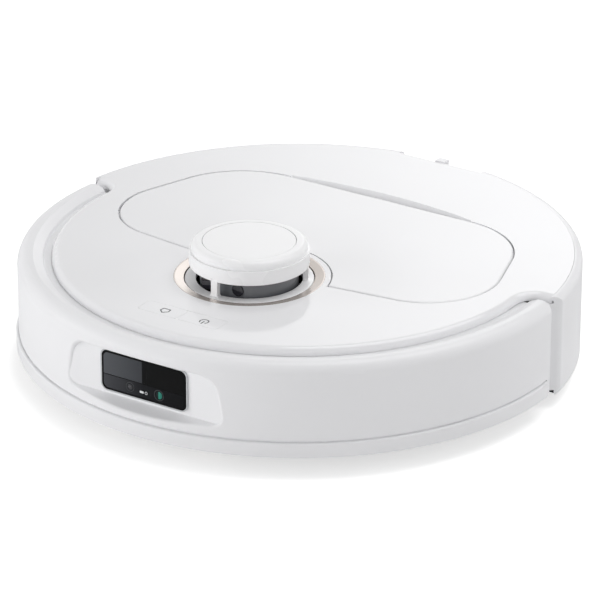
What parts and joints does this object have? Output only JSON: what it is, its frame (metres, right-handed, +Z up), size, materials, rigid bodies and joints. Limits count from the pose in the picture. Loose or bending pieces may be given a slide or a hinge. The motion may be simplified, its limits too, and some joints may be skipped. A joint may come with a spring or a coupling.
{
  "type": "robot vacuum cleaner",
  "caption": "Round robot vacuum cleaner with a laser turret, a sprung front bumper with a dark sensor window, a hinged lid over the dust box, drive wheels and brushes.",
  "frame": {"origin": "on the floor under the centre of the round body", "axes": "+Z up; the bumper and sensor window face -Y; the robot's left side is +X"},
  "size_m": [0.35, 0.35, 0.0965],
  "materials": {
    "white_satin": "satin",
    "white_gloss": "gloss",
    "pale_grey_plastic": "satin",
    "dark_plastic": "matte",
    "smoke_plastic": "gloss",
    "champagne_metal": "satin",
    "dark_window": "gloss",
    "lens_glass": "polished",
    "bare_steel": "satin",
    "contact_nickel": "satin",
    "motor_case": "satin",
    "cell_pack": "matte",
    "circuit_board": "satin",
    "tyre_rubber": "matte",
    "brush_rubber": "matte",
    "belt_rubber": "matte",
    "smoked_clear": "gloss",
    "filter_paper": "matte",
    "bristle_nylon": "matte"
  },
  "bodies": {
    "body": {"chassis_base": "dark_plastic", "cliff_sensor_windows": "smoke_plastic", "charge_contacts": "contact_nickel", "base_screws": "bare_steel", "rear_shell": "white_satin", "exhaust_grille": "dark_plastic", "dock_port": "pale_grey_plastic", "top_cover": "white_gloss", "hinge_pins": "bare_steel", "key_board": "circuit_board", "turret_trim_ring": "champagne_metal", "laser_base": "dark_plastic", "laser_belt": "belt_rubber", "bumper_springs": "bare_steel", "bumper_switches": "dark_plastic", "wheel_housings": "dark_plastic", "pivot_pins": "bare_steel", "caster_socket": "dark_plastic", "brush_tunnel": "dark_plastic", "brush_gear_motor": "motor_case", "brush_guard": "pale_grey_plastic", "side_brush_motor": "motor_case", "battery_pack": "cell_pack", "battery_door": "dark_plastic", "main_board": "circuit_board", "speaker": "dark_plastic", "dust_box": "smoked_clear", "dust_box_lid": "pale_grey_plastic", "filter_frame": "pale_grey_plastic", "filter_pleats": "filter_paper", "fan_unit": "motor_case"},
    "lid": {"lid_panel": "white_gloss"},
    "bumper": {"bumper_shell": "white_satin", "bumper_strip": "white_satin", "window_bezel": "pale_grey_plastic", "sensor_window": "dark_window", "sensor_module": "dark_plastic"},
    "turret": {"turret_cage": "white_satin", "turret_cap": "white_satin", "turret_disc": "white_satin"},
    "laser": {"laser_rotor": "smoke_plastic", "laser_lenses": "lens_glass"},
    "laser_drive": {"laser_pulley": "pale_grey_plastic"},
    "home_key": {"home_button": "white_gloss"},
    "power_key": {"power_button": "white_gloss"},
    "left_arm": {"left_drive_arm": "motor_case"},
    "left_wheel": {"left_wheel_hub": "pale_grey_plastic", "left_wheel_tyre": "tyre_rubber"},
    "right_arm": {"right_drive_arm": "motor_case"},
    "right_wheel": {"right_wheel_hub": "pale_grey_plastic", "right_wheel_tyre": "tyre_rubber"},
    "caster": {"caster_fork": "dark_plastic", "caster_axle": "bare_steel"},
    "caster_roller": {"caster_wheel": "pale_grey_plastic"},
    "main_brush": {"brush_shaft": "pale_grey_plastic", "brush_blades": "brush_rubber"},
    "side_brush": {"side_brush_hub": "brush_rubber", "side_brush_bristles": "bristle_nylon"},
    "fan": {"fan_impeller": "pale_grey_plastic"}
  },
  "joints": [
    {"name": "bumper_slide", "type": "slide", "parent": "body", "child": "bumper", "axis": [0, 1, 0], "range_m": [0, 0.004], "stiffness_N_per_m": 500, "springref_m": -0.004, "deforming": ["bumper_springs"]},
    {"name": "lid_hinge", "type": "hinge", "parent": "body", "child": "lid", "pos_m": [0, -0.038, 0.07205], "axis": [1, 0, 0], "range_deg": [0, 60]},
    {"name": "turret_press", "type": "slide", "parent": "body", "child": "turret", "axis": [0, 0, -1], "range_m": [0, 0.001], "stiffness_N_per_m": 2000, "springref_m": -0.001},
    {"name": "laser_spin", "type": "hinge", "parent": "body", "child": "laser", "pos_m": [0, -0.054, 0.07], "axis": [0, 0, 1], "continuous": true},
    {"name": "laser_pulley_spin", "type": "hinge", "parent": "body", "child": "laser_drive", "pos_m": [0.052, -0.084, 0.061], "axis": [0, 0, 1], "continuous": true},
    {"name": "home_press", "type": "slide", "parent": "body", "child": "home_key", "axis": [0, 0, -1], "range_m": [0, 0.0008], "stiffness_N_per_m": 800, "springref_m": -0.0005},
    {"name": "power_press", "type": "slide", "parent": "body", "child": "power_key", "axis": [0, 0, -1], "range_m": [0, 0.0008], "stiffness_N_per_m": 800, "springref_m": -0.0005},
    {"name": "left_suspension", "type": "hinge", "parent": "body", "child": "left_arm", "pos_m": [0.093, -0.044, 0.034], "axis": [-1, 0, 0], "range_deg": [0, 22], "stiffness_Nm_per_rad": 0.25, "springref_deg": 51.57},
    {"name": "right_suspension", "type": "hinge", "parent": "body", "child": "right_arm", "pos_m": [-0.093, -0.044, 0.034], "axis": [-1, 0, 0], "range_deg": [0, 22], "stiffness_Nm_per_rad": 0.25, "springref_deg": 51.57},
    {"name": "left_wheel_spin", "type": "hinge", "parent": "left_arm", "child": "left_wheel", "pos_m": [0.112, 0, 0.032], "axis": [1, 0, 0], "continuous": true},
    {"name": "right_wheel_spin", "type": "hinge", "parent": "right_arm", "child": "right_wheel", "pos_m": [-0.112, 0, 0.032], "axis": [1, 0, 0], "continuous": true},
    {"name": "caster_swivel", "type": "hinge", "parent": "body", "child": "caster", "pos_m": [0, -0.14, 0.02], "axis": [0, 0, 1], "continuous": true},
    {"name": "caster_spin", "type": "hinge", "parent": "caster", "child": "caster_roller", "pos_m": [0, -0.135, 0.012], "axis": [1, 0, 0], "continuous": true},
    {"name": "main_brush_spin", "type": "hinge", "parent": "body", "child": "main_brush", "pos_m": [0, 0.004, 0.025], "axis": [1, 0, 0], "continuous": true},
    {"name": "side_brush_spin", "type": "hinge", "parent": "body", "child": "side_brush", "pos_m": [-0.092, -0.092, 0.006], "axis": [0, 0, 1], "continuous": true},
    {"name": "fan_spin", "type": "hinge", "parent": "body", "child": "fan", "pos_m": [-0.026, 0.124, 0.04], "axis": [0, 0, 1], "continuous": true}
  ],
  "couplings": [
    {"joint": "laser_pulley_spin", "follows": "laser_spin", "ratio": 7.3333}
  ]
}
